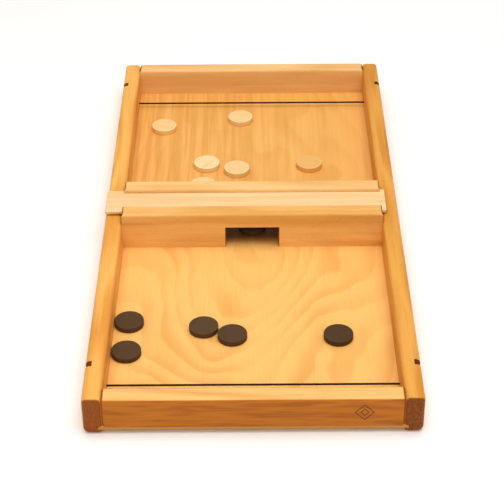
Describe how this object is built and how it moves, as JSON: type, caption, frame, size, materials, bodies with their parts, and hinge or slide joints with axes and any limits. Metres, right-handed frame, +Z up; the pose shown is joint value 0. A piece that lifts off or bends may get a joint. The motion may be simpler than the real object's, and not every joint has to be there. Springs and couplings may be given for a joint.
{
  "type": "sling puck board game",
  "caption": "Wooden tabletop sling puck game with a centre gate, a storage trough under a sliding lid, elastic cords, and dark and light wooden pucks.",
  "frame": {"origin": "on the table under the middle of the board", "axes": "+Z up, +Y along the board from the near player to the far player, +X to the near player's right"},
  "size_m": [0.31, 0.636, 0.0495],
  "materials": {
    "beech_boards": "satin",
    "birch_ply": "satin",
    "dark_puck_wood": "satin",
    "light_puck_wood": "satin",
    "elastic_cord": "matte",
    "dowel_wood": "matte",
    "screw_steel": "satin"
  },
  "bodies": {
    "board": {"base_board": "birch_ply", "left_rail": "beech_boards", "right_rail": "beech_boards", "front_end_rail": "beech_boards", "back_end_rail": "beech_boards", "front_gate_bar": "beech_boards", "back_gate_bar": "beech_boards", "tunnel_left_wall": "beech_boards", "tunnel_right_wall": "beech_boards", "tunnel_roof": "birch_ply", "front_cord": "elastic_cord", "back_cord": "elastic_cord", "cord_knots": "elastic_cord", "rail_dowels": "dowel_wood", "base_screws": "screw_steel"},
    "lid": {"storage_lid": "beech_boards"},
    "dark_puck_1_body": {"dark_puck_1": "dark_puck_wood"},
    "dark_puck_2_body": {"dark_puck_2": "dark_puck_wood"},
    "dark_puck_3_body": {"dark_puck_3": "dark_puck_wood"},
    "dark_puck_4_body": {"dark_puck_4": "dark_puck_wood"},
    "dark_puck_5_body": {"dark_puck_5": "dark_puck_wood"},
    "dark_puck_6_body": {"dark_puck_6": "dark_puck_wood"},
    "light_puck_1_body": {"light_puck_1": "light_puck_wood"},
    "light_puck_2_body": {"light_puck_2": "light_puck_wood"},
    "light_puck_3_body": {"light_puck_3": "light_puck_wood"},
    "light_puck_4_body": {"light_puck_4": "light_puck_wood"},
    "light_puck_5_body": {"light_puck_5": "light_puck_wood"},
    "light_puck_6_body": {"light_puck_6": "light_puck_wood"}
  },
  "joints": [
    {"name": "lid_slide", "type": "slide", "parent": "board", "child": "lid", "axis": [1, 0, 0], "range_m": [-0.22, 0.013]},
    {"name": "dark_puck_1_slide", "type": "slide", "parent": "board", "child": "dark_puck_1_body", "axis": [0, 1, 0], "range_m": [0, 0.117]},
    {"name": "dark_puck_2_slide", "type": "slide", "parent": "board", "child": "dark_puck_2_body", "axis": [0, 1, 0], "range_m": [-0.036, 0]},
    {"name": "dark_puck_3_slide", "type": "slide", "parent": "board", "child": "dark_puck_3_body", "axis": [0, 1, 0], "range_m": [0, 0.127]},
    {"name": "dark_puck_4_slide", "type": "slide", "parent": "board", "child": "dark_puck_4_body", "axis": [0, 1, 0], "range_m": [-0.061, 0]},
    {"name": "dark_puck_5_slide", "type": "slide", "parent": "board", "child": "dark_puck_5_body", "axis": [0, 1, 0], "range_m": [-0.06, 0.14]},
    {"name": "dark_puck_6_slide", "type": "slide", "parent": "board", "child": "dark_puck_6_body", "axis": [0, 1, 0], "range_m": [-0.165, 0.091]},
    {"name": "light_puck_1_slide", "type": "slide", "parent": "board", "child": "light_puck_1_body", "axis": [0, 1, 0], "range_m": [-0.164, 0.036]},
    {"name": "light_puck_2_slide", "type": "slide", "parent": "board", "child": "light_puck_2_body", "axis": [0, 1, 0], "range_m": [0, 0.017]},
    {"name": "light_puck_3_slide", "type": "slide", "parent": "board", "child": "light_puck_3_body", "axis": [0, 1, 0], "range_m": [0, 0.121]},
    {"name": "light_puck_4_slide", "type": "slide", "parent": "board", "child": "light_puck_4_body", "axis": [0, 1, 0], "range_m": [0, 0.085]},
    {"name": "light_puck_5_slide", "type": "slide", "parent": "board", "child": "light_puck_5_body", "axis": [0, 1, 0], "range_m": [-0.079, 0.122]},
    {"name": "light_puck_6_slide", "type": "slide", "parent": "board", "child": "light_puck_6_body", "axis": [0, 1, 0], "range_m": [-0.033, 0]}
  ]
}
